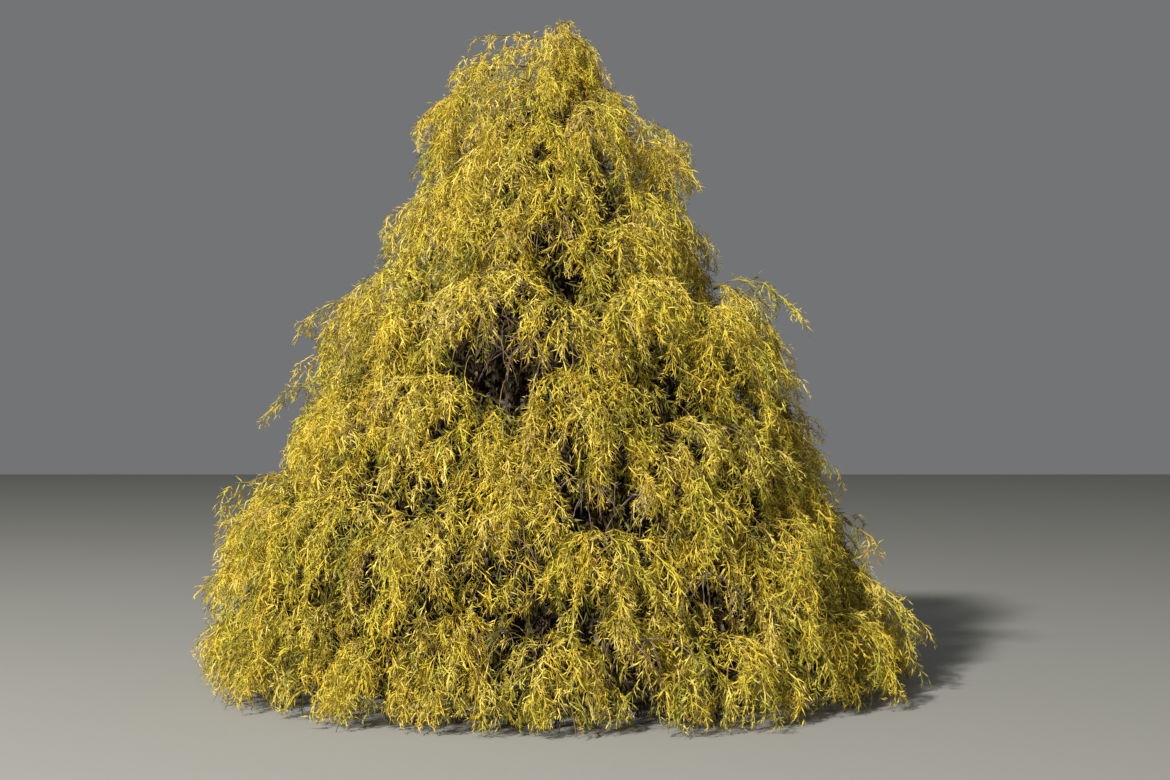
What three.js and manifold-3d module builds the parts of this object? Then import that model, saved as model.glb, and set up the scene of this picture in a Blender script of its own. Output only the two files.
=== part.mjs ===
// Golden threadleaf sawara cypress: one trunk inside a broad cone of weeping, thread-like foliage.
// Millimetres, +Z up, the viewer looks along +Y and +X is to the viewer's right.
// The origin is the centre of the flat cut under the trunk, at ground level.

import * as THREE from "three";
import { mergeVertices } from "three/addons/utils/BufferGeometryUtils.js";
import Module from "manifold-3d";

const wasm = await Module();
wasm.setup();

// Driving dimensions of the trunk
const TRUNK_TOP = 3420;
const TRUNK_RADIUS = 92;
const TRUNK_TIP_RADIUS = 15;
const TRUNK_TAPER = 1.1;
const TRUNK_SIDES = 12;
const TRUNK_RINGS = [0, 45, 110, 200, 340, 620, 1000, 1400, 1800, 2200, 2600, 3000];
const FLARE = 58;
const FLARE_HEIGHT = 120;
const FLARE_LOBES = 5;
const FLARE_LOBE_SHARE = 0.28;
const SWAY_X = 45;
const SWAY_Y = 22;
const SWAY_LENGTH = 3000;
const CLEAR = 0.3;
const SMALLEST_DETAIL = 0.1;

// Driving dimensions of the crown, one row for each storey of weeping branches, from the ground up.
// crest is the height where its branches arch over, and tilt how much higher that is at the left and lower at
// the right; left and right are how far its tips reach from the trunk.
const STOREYS = [
  { crest: 580, tilt: -50, left: 2110, right: 2200, masses: 8, tufts: 3, boughs: true },
  { crest: 1170, tilt: 20, left: 2010, right: 1990, masses: 7, tufts: 3, boughs: true },
  { crest: 1700, tilt: 50, left: 1600, right: 1740, masses: 6, tufts: 3, boughs: true },
  { crest: 2290, tilt: 30, left: 1370, right: 1560, masses: 5, tufts: 3, boughs: false },
  { crest: 2790, tilt: 60, left: 960, right: 960, masses: 4, tufts: 3, boughs: false },
  { crest: 3220, tilt: -20, left: 740, right: 830, masses: 3, tufts: 3, boughs: false },
  { crest: 3470, tilt: 0, left: 780, right: 480, masses: 2, tufts: 3, boughs: false },
  { crest: 3740, tilt: -60, left: 600, right: 260, masses: 1, tufts: 3, boughs: false },
];
const REACH_JITTER = 0.04;
const REACH_ZIGZAG = 0.025;
const CREST_JITTER = 40;
const CREST_ZIGZAG = 80;
const TURN_JITTER = 0.12;

// One tuft hangs from an arch: its spots lie along it, and its sprays stand out of it by the pad.
const ARCH_FOOT = 0.75;
const ARCH_DROP = 430;
const ARCH_BELOW_CREST = 110;
const PAD = 330;
const ARCH_ANGLES = [35, 55, 73, 90];
const TUFT_RADIUS = 420;
const TUFT_MARGIN = 8;
const GROUND_CLEAR = 12;
const CORE_ANGLE = 56;
const CORE_OUT = 165;
const CORE_SIDE = 290;
const CORE_IN = 190;
const CORE_TEETH = 7;
const CORE_FITS = [1, 0.9, 0.8, 0.7, 0.6, 0.5, 0.4];
const CORE_UNEVEN = 0.1;
const CORE_TOP = 225;
const CORE_UNDERSIDE = 110;
// The rows of points round a core from its top down, each point a slope in degrees and a size:
// the shoulder, then the skirt's teeth and the notches between them
const CORE_ROWS = [
  [[30, 1.02]],
  [[-62, 2.5], [-50, 1.6]],
];

// Boughs and twigs
const BOUGH_SHARE = 0.56;
const BOUGH_RADIUS = 30;
const BOUGH_TIP_RADIUS = 13;
const BOUGH_RISE = 230;
const BOUGH_LOWEST = 130;
const BOUGH_ARCH = 35;
const BOUGH_BEND = 0.16;
const STEM_RADIUS = 15;
const TWIG_RADIUS = 9;
const TWIG_TIP_RADIUS = 5;
const FORK = 0.3;
const FORK_JITTER = 0.08;

// Sprays: each is one toothed blade that arches out of its tuft and hangs
const SPRAY_LENGTH = 500;
const SPRAY_WIDTH = 350;
const SPRAY_HALF_THICK = 17;
const SPRAY_FITS = [1, 0.92, 0.84, 0.76, 0.68, 0.6, 0.5];
const SPRAY_GAP = 1;
// Where each spray of a tuft leaves its core, as a turn from the tuft's heading and a slope,
// and how it goes on: its heading's turn, its first slope and its last, in degrees
const SPRAY_PLACES = [
  { from: [36, 34], turn: 30, rise: 44, fall: -80 },
  { from: [-36, 34], turn: -30, rise: 44, fall: -80 },
  { from: [0, 4], turn: 0, rise: 24, fall: -86 },
];
const ROOT_SHARE = 0.75;
// The spray's outline, three teeth like hanging threads: share of the length, share of the width
const SPRAY_OUTLINE = [
  [0, 0],
  [0.8, -0.5],
  [0.56, -0.2],
  [1, 0.04],
  [0.6, 0.24],
  [0.86, 0.5],
];

const BARK_COLOUR = 0x6b5140;
const FOLIAGE_COLOUR = 0xc9a52c;
const UP = new THREE.Vector3(0, 0, 1);
const radians = THREE.MathUtils.degToRad;

// A repeatable stream of numbers from 0 to 1
function stream(seed) {
  let state = seed >>> 0;
  return () => {
    state = (state + 0x6d2b79f5) >>> 0;
    let t = Math.imul(state ^ (state >>> 15), 1 | state);
    t = (t + Math.imul(t ^ (t >>> 7), 61 | t)) ^ t;
    return ((t ^ (t >>> 14)) >>> 0) / 4294967296;
  };
}

// A number from -size to size, drawn from a stream
function jitter(draw, size) {
  return (2 * draw() - 1) * size;
}

function heading(turn) {
  return new THREE.Vector3(Math.cos(turn), Math.sin(turn), 0);
}

// A closed three.js geometry as a solid that can be joined and cut
function solidOf(geometry) {
  const plain = new THREE.BufferGeometry().setAttribute("position", geometry.getAttribute("position"));
  plain.setIndex(geometry.index);
  const merged = mergeVertices(plain, 1e-3);
  return new wasm.Manifold(
    new wasm.Mesh({
      numProp: 3,
      vertProperties: merged.attributes.position.array,
      triVerts: new Uint32Array(merged.index.array),
    }),
  );
}

// A closed solid from its points and the numbers of each face's three points
function closedSolid(points, faces) {
  const geometry = new THREE.BufferGeometry().setFromPoints(points);
  geometry.setIndex(faces);
  return solidOf(geometry);
}

// The largest body of a solid: loose scraps are dropped and sealed hollows filled
function largestOf(solid) {
  return solid.decompose().reduce((kept, body) => (body.volume() > kept.volume() ? body : kept));
}

function meshOf(solid, name, colour, roughness) {
  const made = solid.getMesh();
  const geometry = new THREE.BufferGeometry();
  geometry.setAttribute("position", new THREE.BufferAttribute(new Float32Array(made.vertProperties), 3));
  geometry.setIndex(new THREE.BufferAttribute(new Uint32Array(made.triVerts), 1));
  geometry.computeVertexNormals();
  const material = new THREE.MeshStandardMaterial({ color: colour, roughness, metalness: 0 });
  const mesh = new THREE.Mesh(geometry, material);
  mesh.name = name;
  return mesh;
}

// The trunk's centre at a height: it sways a little and its leader leans to the right
function trunkAt(z) {
  const x = -SWAY_X * Math.sin((Math.PI * z) / SWAY_LENGTH);
  const y = SWAY_Y * Math.sin((2 * Math.PI * z) / SWAY_LENGTH);
  return new THREE.Vector3(x, y, z);
}

function trunkRadius(z, turn) {
  const taper = Math.pow(1 - Math.min(1, z / TRUNK_TOP), TRUNK_TAPER);
  const lobes = 1 + FLARE_LOBE_SHARE * Math.cos(FLARE_LOBES * turn + 0.6);
  const flare = FLARE * lobes * Math.exp(-z / FLARE_HEIGHT);
  return THREE.MathUtils.lerp(TRUNK_TIP_RADIUS, TRUNK_RADIUS, taper) + flare;
}

// The trunk is a lathe-turned taper whose rings are pushed out into root flares and moved onto its swaying centre
function trunkSolid(grown) {
  const profile = TRUNK_RINGS.map((z) => new THREE.Vector2(1, z));
  profile.unshift(new THREE.Vector2(0, 0));
  profile.push(new THREE.Vector2(1, TRUNK_TOP + grown), new THREE.Vector2(0, TRUNK_TOP + grown));
  const lathe = new THREE.LatheGeometry(profile, TRUNK_SIDES).rotateX(Math.PI / 2);
  const place = lathe.getAttribute("position");
  for (let i = 0; i < place.count; i++) {
    const z = place.getZ(i);
    const turn = Math.atan2(place.getY(i), place.getX(i));
    const onAxis = Math.hypot(place.getX(i), place.getY(i)) < 0.5;
    const r = onAxis ? 0 : trunkRadius(z, turn) + grown;
    const centre = trunkAt(z);
    place.setXYZ(i, centre.x + r * Math.cos(turn), centre.y + r * Math.sin(turn), z);
  }
  return solidOf(lathe);
}

// A limb is a lathe-turned taper bent along a curve, flat at both ends
function limbSolid(curve, startRadius, endRadius, sides, steps) {
  const profile = [new THREE.Vector2(0, 0)];
  for (let i = 0; i <= steps; i++) {
    profile.push(new THREE.Vector2(THREE.MathUtils.lerp(startRadius, endRadius, i / steps), i / steps));
  }
  profile.push(new THREE.Vector2(0, 1));
  const lathe = new THREE.LatheGeometry(profile, sides);
  const frames = curve.computeFrenetFrames(steps);
  const place = lathe.getAttribute("position");
  for (let i = 0; i < place.count; i++) {
    const t = place.getY(i);
    const step = Math.round(t * steps);
    const point = curve
      .getPointAt(t)
      .addScaledVector(frames.binormals[step], place.getX(i))
      .addScaledVector(frames.normals[step], place.getZ(i));
    place.setXYZ(i, point.x, point.y, point.z);
  }
  return solidOf(lathe);
}

function straightLimb(from, to, startRadius, endRadius, sides) {
  return limbSolid(new THREE.LineCurve3(from, to), startRadius, endRadius, sides, 1);
}

// Every tuft of the crown: its heading, its reach and the spots along its arch
function tuftsOf(storey, level) {
  const count = storey.masses * storey.tufts;
  const made = [];
  for (let i = 0; i < count; i++) {
    const draw = stream(1000 * (level + 1) + i);
    const step = (2 * Math.PI) / count;
    const turn = Math.PI + step * (i + jitter(draw, TURN_JITTER));
    const side = Math.cos(turn);
    const zigzag = ((i % 2) * 2 - 1) * Math.min(1, (count - 1) / 11);
    const middle = (storey.left + storey.right) / 2;
    const uneven = 1 + jitter(draw, REACH_JITTER) - REACH_ZIGZAG * zigzag;
    const reach = (middle + ((storey.right - storey.left) / 2) * side) * uneven;
    const crest = storey.crest - storey.tilt * side + CREST_ZIGZAG * zigzag + jitter(draw, CREST_JITTER);
    const pad = PAD * Math.min(1, 0.35 + 0.65 * (reach / 1300));
    const drop = Math.min(ARCH_DROP * (pad / PAD), crest - ARCH_BELOW_CREST - 150);
    made.push({ turn, reach, crest, pad, drop, level, seed: 1000 * (level + 1) + 550 + i });
  }
  for (const tuft of made) {
    tuft.spots = ARCH_ANGLES.map((angle) => archPoint(tuft, angle));
    tuft.middle = tuft.spots[1];
    tuft.span = Math.max(...tuft.spots.map((spot) => spot.distanceTo(tuft.middle)));
    tuft.centre = archPoint(tuft, CORE_ANGLE);
    tuft.scale = Math.min(1, 0.5 + 0.5 * (tuft.reach / 1000));
  }
  return made;
}

// A point on a tuft's arch, from its crest at 0 degrees to its hanging end at 90
function archPoint(tuft, angle) {
  const outer = Math.max(tuft.reach - tuft.pad, tuft.reach * 0.3);
  const inner = outer * ARCH_FOOT;
  const r = inner + (outer - inner) * Math.sin(radians(angle));
  const z = tuft.crest - ARCH_BELOW_CREST - tuft.drop * (1 - Math.cos(radians(angle)));
  return trunkAt(Math.min(z, TRUNK_TOP)).setZ(z).addScaledVector(heading(tuft.turn), r);
}

const storeys = STOREYS.map(tuftsOf);
const tufts = storeys.flat();

function distanceTo(point, tuft) {
  return Math.min(...tuft.spots.map((spot) => spot.distanceTo(point)));
}

// How far inside a tuft's own space a point lies. The space is nearer to its spots than to any other tuft's,
// within its reach, under its crest and above the ground.
function roomAt(point, tuft) {
  const own = distanceTo(point, tuft);
  const spread = point.distanceTo(trunkAt(Math.min(point.z, TRUNK_TOP)).setZ(point.z));
  let room = Math.min(TUFT_RADIUS - own, point.z - GROUND_CLEAR, tuft.reach - spread, tuft.crest - point.z);
  for (const other of tufts) {
    if (room < 0) break;
    if (other === tuft || other.middle.distanceTo(point) > own + other.span) continue;
    room = Math.min(room, (distanceTo(point, other) - own) / 2 - TUFT_MARGIN);
  }
  return room;
}

// A direction seen from a tuft: a turn from its heading and a slope, in degrees
function aim(tuft, turn, slope) {
  const flat = Math.cos(radians(slope));
  return heading(tuft.turn + radians(turn)).multiplyScalar(flat).addScaledVector(UP, Math.sin(radians(slope)));
}

// A point of a tuft along a direction, drawn back to where there is room
function pointWithin(tuft, direction, wanted) {
  const point = new THREE.Vector3();
  for (let length = wanted; length > 25; length -= 8) {
    point.copy(tuft.centre).addScaledVector(direction, length);
    if (roomAt(point, tuft) > 10) break;
  }
  return point;
}

// How far a tuft's core stands out at a turn round it, in degrees, when its size is 1
function coreSize(turn) {
  const out = Math.cos(radians(turn));
  const side = Math.sin(radians(turn));
  return 1 / Math.hypot(out / (out > 0 ? CORE_OUT : CORE_IN), side / CORE_SIDE);
}

// One row of points round a core, with the turn of each
function coreRow(tuft, row, size, draw) {
  const step = 360 / CORE_TEETH;
  const start = (tuft.seed % 5) / 5;
  const made = [];
  for (let k = 0; k < CORE_TEETH; k++) {
    row.forEach(([slope, share], j) => {
      const turn = step * (k + start + j / row.length);
      const uneven = 1 + jitter(draw, CORE_UNEVEN);
      const length = share * size * uneven * tuft.scale * coreSize(turn);
      made.push({ turn, point: pointWithin(tuft, aim(tuft, turn, slope), length) });
    });
  }
  return made;
}

// The faces between two rows of points, going round both in step; first and next number their points
function stitch(upper, lower, first, next) {
  const faces = [];
  const turnOf = (row, i) => row[i % row.length].turn + (i >= row.length ? 360 : 0);
  let i = upper.length === 1 ? 1 : 0;
  let j = lower.length === 1 ? 1 : 0;
  while (i < upper.length || j < lower.length) {
    const a = first + (i % upper.length);
    const b = next + (j % lower.length);
    const moveUpper = j >= lower.length || (i < upper.length && turnOf(upper, i + 1) <= turnOf(lower, j + 1));
    if (moveUpper) faces.push(a, b, first + (++i % upper.length));
    else faces.push(a, b, next + (++j % lower.length));
  }
  return faces;
}

// The core of a tuft: a drape with a closed top and a skirt of hanging teeth
function coreOf(tuft, size) {
  const draw = stream(tuft.seed + 77);
  const rows = CORE_ROWS.map((row) => coreRow(tuft, row, size, draw));
  const pole = (slope, length) => [{ turn: 0, point: pointWithin(tuft, aim(tuft, 0, slope), length) }];
  rows.unshift(pole(90, CORE_TOP * size * tuft.scale));
  rows.push(pole(-90, CORE_UNDERSIDE * size * tuft.scale));
  const points = rows.flat().map((made) => made.point);
  const faces = [];
  let first = 0;
  for (let k = 0; k + 1 < rows.length; k++) {
    faces.push(...stitch(rows[k], rows[k + 1], first, first + rows[k].length));
    first += rows[k].length;
  }
  return closedSolid(points, faces);
}

// The points of one spray: its outline on a strip that arches out and hangs, and one ridge point on each face
function sprayPoints(root, turn, rise, fall, length, width) {
  const forward = heading(turn);
  const across = new THREE.Vector3().crossVectors(UP, forward);
  const steps = 10;
  const line = [root.clone()];
  const slopeAt = (share) => radians(THREE.MathUtils.lerp(rise, fall, Math.min(1, 1.25 * share)));
  for (let i = 0; i < steps; i++) {
    const slope = slopeAt((i + 0.5) / steps);
    const step = forward.clone().multiplyScalar(Math.cos(slope)).addScaledVector(UP, Math.sin(slope));
    line.push(line[i].clone().addScaledVector(step, length / steps));
  }
  const at = (share) => {
    const i = Math.min(steps - 1, Math.floor(share * steps));
    return line[i].clone().lerp(line[i + 1], share * steps - i);
  };
  const edge = SPRAY_OUTLINE.map(([along, side]) =>
    at(along)
      .addScaledVector(across, side * width)
      .addScaledVector(UP, -Math.abs(side) * 0.25 * width),
  );
  const middle = at(0.5);
  const slope = slopeAt(0.5);
  const lift = forward.clone().multiplyScalar(-Math.sin(slope)).addScaledVector(UP, Math.cos(slope));
  const top = middle.clone().addScaledVector(lift, SPRAY_HALF_THICK);
  const under = middle.clone().addScaledVector(lift, -SPRAY_HALF_THICK);
  return { edge, top, under };
}

function spraySolid({ edge, top, under }) {
  const count = edge.length;
  const faces = [];
  for (let i = 0; i < count; i++) {
    const next = (i + 1) % count;
    faces.push(i, next, count, next, i, count + 1);
  }
  return closedSolid([...edge, top, under], faces);
}

function near(a, b) {
  const one = a.boundingBox();
  const two = b.boundingBox();
  return one.min.every((low, i) => low <= two.max[i] + SPRAY_GAP && two.min[i] <= one.max[i] + SPRAY_GAP);
}

function touches(solid, others) {
  return others.some((other) => near(solid, other) && solid.minGap(other, SPRAY_GAP) < SPRAY_GAP);
}

// The largest core that fits clear of its neighbours
function fittedCore(tuft, neighbours) {
  for (const size of CORE_FITS) {
    const solid = largestOf(coreOf(tuft, size).subtract(trunkGrown));
    if (!touches(solid, neighbours)) return solid;
  }
  return null;
}

// The sprays of one tuft, each as long as fits its space and skipped where even the shortest would leave it
function spraysOf(tuft, neighbours) {
  const draw = stream(tuft.seed);
  const made = [];
  for (const place of SPRAY_PLACES) {
    const turn = tuft.turn + radians(place.turn + jitter(draw, 12));
    const rise = place.rise + jitter(draw, 10);
    const fall = place.fall + jitter(draw, 4);
    const size = (0.9 + 0.25 * draw()) * tuft.scale;
    const depth = ROOT_SHARE * coreSize(place.from[0]) * tuft.scale;
    const root = tuft.centre.clone().addScaledVector(aim(tuft, place.from[0], place.from[1]), depth);
    for (const fit of SPRAY_FITS) {
      const length = SPRAY_LENGTH * size * fit;
      const points = sprayPoints(root, turn, rise, fall, length, SPRAY_WIDTH * size * Math.sqrt(fit));
      if (points.edge.slice(1).some((p) => roomAt(p, tuft) < 0)) continue;
      const solid = spraySolid(points);
      if (touches(solid, neighbours)) continue;
      made.push(solid);
      break;
    }
  }
  return made;
}

// A bough leaves the trunk, climbs, then levels out under the arch of its mass
function boughCurve(mass) {
  const reach = mass.reach * BOUGH_SHARE;
  const tipHeight = mass.crest - mass.pad * 1.1;
  const start = trunkAt(Math.max(tipHeight - BOUGH_RISE, BOUGH_LOWEST));
  const end = trunkAt(tipHeight).addScaledVector(heading(mass.turn), reach);
  const sideways = heading(mass.turn + jitter(mass.draw, BOUGH_BEND));
  const bend = trunkAt(tipHeight + BOUGH_ARCH).addScaledVector(sideways, reach * 0.5);
  return new THREE.QuadraticBezierCurve3(start, bend, end);
}

// The frame of a mass: a stem from its bough or the trunk into its middle tuft, and a twig off it into each other
function frameOf(mass) {
  const { point, direction, radius, cut } = mass.root;
  const main = mass.group[Math.floor(mass.group.length / 2)];
  const lead = point.clone().addScaledVector(direction, 0.35 * point.distanceTo(main.centre));
  const curve = new THREE.QuadraticBezierCurve3(point, lead, main.centre);
  const stem = limbSolid(curve, radius, TWIG_TIP_RADIUS, 5, 3);
  const parts = [cut ? stem.subtract(cut) : stem];
  for (const tuft of mass.group) {
    if (tuft === main) continue;
    const fork = curve.getPointAt(FORK + jitter(mass.draw, FORK_JITTER));
    parts.push(straightLimb(fork, tuft.centre, TWIG_RADIUS, TWIG_TIP_RADIUS, 3));
  }
  return wasm.Manifold.union(parts);
}

const plant = new THREE.Group();
const label = (n) => String(n).padStart(2, "0");

const trunk = trunkSolid(0);
const trunkGrown = trunkSolid(CLEAR);
plant.add(meshOf(trunk, "trunk", BARK_COLOUR, 0.9));

// The masses of one storey, each with its group of neighbouring tufts and their mean place
const masses = [];
STOREYS.forEach((storey, level) => {
  for (let m = 0; m < storey.masses; m++) {
    const group = storeys[level].slice(m * storey.tufts, (m + 1) * storey.tufts);
    const mean = (key) => group.reduce((sum, tuft) => sum + tuft[key], 0) / group.length;
    const draw = stream(7000 + 100 * level + m);
    masses.push({
      group,
      storey,
      draw,
      turn: mean("turn"),
      reach: mean("reach"),
      crest: mean("crest"),
      pad: mean("pad"),
    });
  }
});

// Boughs first, so that the foliage can keep clear of them
const limbs = [trunkGrown];
masses.forEach((mass, i) => {
  if (!mass.storey.boughs) return;
  const curve = boughCurve(mass);
  const size = 0.75 + 0.25 * (mass.reach / STOREYS[0].left);
  const whole = limbSolid(curve, BOUGH_RADIUS * size, BOUGH_TIP_RADIUS, 5, 4);
  const bough = whole.subtract(trunkGrown);
  plant.add(meshOf(bough, "bough_" + label(i + 1), BARK_COLOUR, 0.9));
  limbs.push(bough);
  const direction = curve.getTangentAt(1);
  const point = curve.getPointAt(1).addScaledVector(direction, CLEAR);
  mass.root = { point, direction, radius: BOUGH_TIP_RADIUS, cut: null };
});

// Higher up the stems leave the trunk itself, and the leader's stem goes on from the trunk's tip
masses.forEach((mass) => {
  if (mass.root) return;
  if (mass === masses[masses.length - 1]) {
    const point = trunkAt(TRUNK_TOP).setZ(TRUNK_TOP + CLEAR);
    mass.root = { point, direction: UP, radius: TRUNK_TIP_RADIUS, cut: null };
    return;
  }
  const height = Math.min(mass.crest - mass.pad - BOUGH_RISE * 0.8, TRUNK_TOP - 60);
  const direction = heading(mass.turn).addScaledVector(UP, 0.5).normalize();
  mass.root = { point: trunkAt(height), direction, radius: STEM_RADIUS, cut: trunkGrown };
});

// Then the frames, the cores and the sprays of every mass, each clear of all that belongs to other masses
masses.forEach((mass) => {
  mass.parts = [frameOf(mass)];
});

function othersThan(mass) {
  return limbs.concat(...masses.filter((other) => other !== mass).map((other) => other.parts));
}

for (const mass of masses) {
  const others = othersThan(mass);
  for (const tuft of mass.group) {
    const core = fittedCore(tuft, others);
    if (core) mass.parts.push(core);
  }
}
for (const mass of masses) {
  const others = othersThan(mass);
  for (const tuft of mass.group) mass.parts.push(...spraysOf(tuft, others));
}
masses.forEach((mass, i) => {
  const solid = largestOf(wasm.Manifold.union(mass.parts)).simplify(SMALLEST_DETAIL);
  plant.add(meshOf(solid, "foliage_" + label(i + 1), FOLIAGE_COLOUR, 0.8));
});

export default plant;
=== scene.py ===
import math

import bmesh
import bpy
import numpy as np
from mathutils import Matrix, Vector, noise


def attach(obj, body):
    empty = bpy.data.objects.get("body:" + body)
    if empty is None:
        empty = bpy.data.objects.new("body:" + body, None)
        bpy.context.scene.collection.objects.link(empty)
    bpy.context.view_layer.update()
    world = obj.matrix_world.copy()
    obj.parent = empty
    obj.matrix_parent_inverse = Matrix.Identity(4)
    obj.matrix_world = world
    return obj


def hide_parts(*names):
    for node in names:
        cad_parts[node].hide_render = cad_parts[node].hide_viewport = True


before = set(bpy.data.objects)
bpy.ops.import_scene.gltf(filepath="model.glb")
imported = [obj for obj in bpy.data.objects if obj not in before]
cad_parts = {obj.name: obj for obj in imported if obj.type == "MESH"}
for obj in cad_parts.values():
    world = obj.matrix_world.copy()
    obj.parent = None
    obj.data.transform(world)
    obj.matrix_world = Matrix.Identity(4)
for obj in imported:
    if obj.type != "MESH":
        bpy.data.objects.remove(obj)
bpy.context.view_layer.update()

# The trunk and its main boughs: wood under grey-brown bark, which peels in long stringy strips that run
# along each limb. The trunk keeps its flat cut and its root flare. Each bough grew out of the trunk, so
# its root, which its solid keeps just clear of the bark, is drawn into the wood.
TRUNK_TOP = 3.42
SWAY_X = 0.045
SWAY_Y = 0.022
SWAY_LENGTH = 3.0
ROOT_SPREAD = 0.13
ROOT_SHARE = 0.45
FOOT_HEIGHT = 0.001
MERGE_DISTANCE = 1e-6
FACET_ANGLE = math.radians(40)
SMOOTH_ANGLE = math.radians(50)
TRUNK_LEVELS = 3
BOUGH_LEVELS = 2
BARK_RIDGE = 0.006
BARK_RIDGE_BASE = 0.4
BARK_RIDGE_SPACING = 0.03
BARK_RIDGE_LENGTH = 0.2
BARK_FINER = 3
BARK_FINER_SHARE = 0.4
BARK_COLOURS = ("4a382c", "6f5746", "93806f")
BARK_TONE_PLACES = (0.32, 0.52, 0.7)
BARK_STRIP_WIDTH = 0.038
BARK_STRIP_STRETCH = 0.12
BARK_FURROW_DEPTH = 0.004


def linear(hex_colour, alpha=1.0):
    """A base colour as Blender reads it, from the sRGB hex value."""
    made = []
    for i in (0, 2, 4):
        share = int(hex_colour[i : i + 2], 16) / 255
        made.append(share / 12.92 if share <= 0.04045 else ((share + 0.055) / 1.055) ** 2.4)
    return (*made, alpha)


def add_node(material, kind, settings=None, **links):
    """A node in a material, with its settings and the sockets that feed its inputs."""
    node = material.node_tree.nodes.new(kind)
    for name, value in (settings or {}).items():
        if name in node.inputs:
            node.inputs[name].default_value = value
        else:
            setattr(node, name, value)
    for name, socket in links.items():
        material.node_tree.links.new(socket, node.inputs[name.replace("_", " ")])
    return node


def new_material(name):
    """A material with its shader, and the shader."""
    material = bpy.data.materials.new(name)
    material.use_nodes = True
    return material, material.node_tree.nodes["Principled BSDF"]


def bark_material():
    """Stringy cypress bark: dull and rough, dark in the furrows, paler and greyer where it peels."""
    material, shader = new_material("stringy_grey_brown_bark")
    link = material.node_tree.links.new
    place = add_node(material, "ShaderNodeTexCoord").outputs["Object"]
    stretch = {"Scale": (1.0, 1.0, BARK_STRIP_STRETCH)}
    along = add_node(material, "ShaderNodeMapping", stretch, Vector=place)
    strips = add_node(
        material,
        "ShaderNodeTexNoise",
        {"Scale": 1 / BARK_STRIP_WIDTH, "Detail": 6.0, "Roughness": 0.65},
        Vector=along.outputs["Vector"],
    )
    ramp = add_node(material, "ShaderNodeValToRGB", Fac=strips.outputs["Fac"])
    dark, pale = ramp.color_ramp.elements
    dark.position, dark.color = BARK_TONE_PLACES[0], linear(BARK_COLOURS[0])
    pale.position, pale.color = BARK_TONE_PLACES[2], linear(BARK_COLOURS[2])
    ramp.color_ramp.elements.new(BARK_TONE_PLACES[1]).color = linear(BARK_COLOURS[1])
    relief = {"Strength": 0.6, "Distance": BARK_FURROW_DEPTH}
    bump = add_node(material, "ShaderNodeBump", relief, Height=strips.outputs["Fac"])
    link(ramp.outputs["Color"], shader.inputs["Base Color"])
    link(bump.outputs["Normal"], shader.inputs["Normal"])
    shader.inputs["Roughness"].default_value = 0.9
    return material


def trunk_at(z):
    """The trunk's centre at a height or heights, carried on upwards above its tip."""
    low = np.minimum(z, TRUNK_TOP)
    x = -SWAY_X * np.sin(math.pi * low / SWAY_LENGTH)
    y = SWAY_Y * np.sin(2 * math.pi * low / SWAY_LENGTH)
    return np.stack([x, y, np.asarray(z, float)], axis=-1)


def sink_root(limb):
    """Draws the end of a bough that stands at the trunk's bark into the trunk's wood."""
    for vertex in limb.data.vertices:
        centre = trunk_at(vertex.co.z)
        away = np.array(vertex.co) - centre
        if np.linalg.norm(away) < ROOT_SPREAD:
            vertex.co = centre + away * ROOT_SHARE


def smooth_limb(name):
    """A limb's solid as a smooth fine mesh, its flat cut kept."""
    limb = bpy.data.objects.new(name + "_bark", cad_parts[name].data.copy())
    bpy.context.collection.objects.link(limb)
    if name != "trunk":
        sink_root(limb)
    bpy.ops.object.select_all(action="DESELECT")
    limb.select_set(True)
    bpy.context.view_layer.objects.active = limb
    bpy.ops.object.mode_set(mode="EDIT")
    bpy.ops.mesh.select_all(action="SELECT")
    bpy.ops.mesh.remove_doubles(threshold=MERGE_DISTANCE)
    bpy.ops.mesh.tris_convert_to_quads(face_threshold=FACET_ANGLE, shape_threshold=FACET_ANGLE)
    bpy.ops.mesh.select_all(action="DESELECT")
    edit = bmesh.from_edit_mesh(limb.data)
    for edge in edit.edges:
        edge.select = all(vertex.co.z < FOOT_HEIGHT for vertex in edge.verts)
    bmesh.update_edit_mesh(limb.data)
    bpy.ops.transform.edge_crease(value=1.0)
    bpy.ops.object.mode_set(mode="OBJECT")
    smooth = limb.modifiers.new("smooth", "SUBSURF")
    smooth.levels = smooth.render_levels = TRUNK_LEVELS if name == "trunk" else BOUGH_LEVELS
    bpy.ops.object.modifier_apply(modifier="smooth")
    return limb


def raise_bark(piece):
    """Pushes the bark out in ridges that run along the limb, and holds the flat cut at the ground."""
    mesh = piece.data
    points = np.empty(len(mesh.vertices) * 3)
    mesh.vertices.foreach_get("co", points)
    points = points.reshape(-1, 3)
    normals = np.empty(len(mesh.vertices) * 3)
    mesh.vertex_normals.foreach_get("vector", normals)
    grain = points / np.array([BARK_RIDGE_SPACING, BARK_RIDGE_SPACING, BARK_RIDGE_LENGTH])
    coarse = np.array([noise.noise(Vector(p)) for p in grain])
    fine = np.array([noise.noise(Vector(p * BARK_FINER)) for p in grain])
    ridge = BARK_RIDGE_BASE - 2 * np.abs(coarse) + BARK_FINER_SHARE * fine
    standing = points[:, 2] > FOOT_HEIGHT
    moved = points + normals.reshape(-1, 3) * (BARK_RIDGE * ridge * standing)[:, None]
    moved[standing, 2] = np.maximum(moved[standing, 2], FOOT_HEIGHT)
    mesh.vertices.foreach_set("co", moved.ravel())
    mesh.update()


limb_nodes = ["trunk"] + sorted(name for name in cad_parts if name.startswith("bough"))
limbs = [smooth_limb(name) for name in limb_nodes]
for limb in limbs:
    limb.select_set(True)
bpy.ops.object.join()
bark = bpy.context.object
bark.name = "bark"
raise_bark(bark)
bpy.ops.object.shade_smooth_by_angle(angle=SMOOTH_ANGLE)
bark.data.materials.clear()
bark.data.materials.append(bark_material())
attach(bark, "root")
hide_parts(*limb_nodes)

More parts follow.
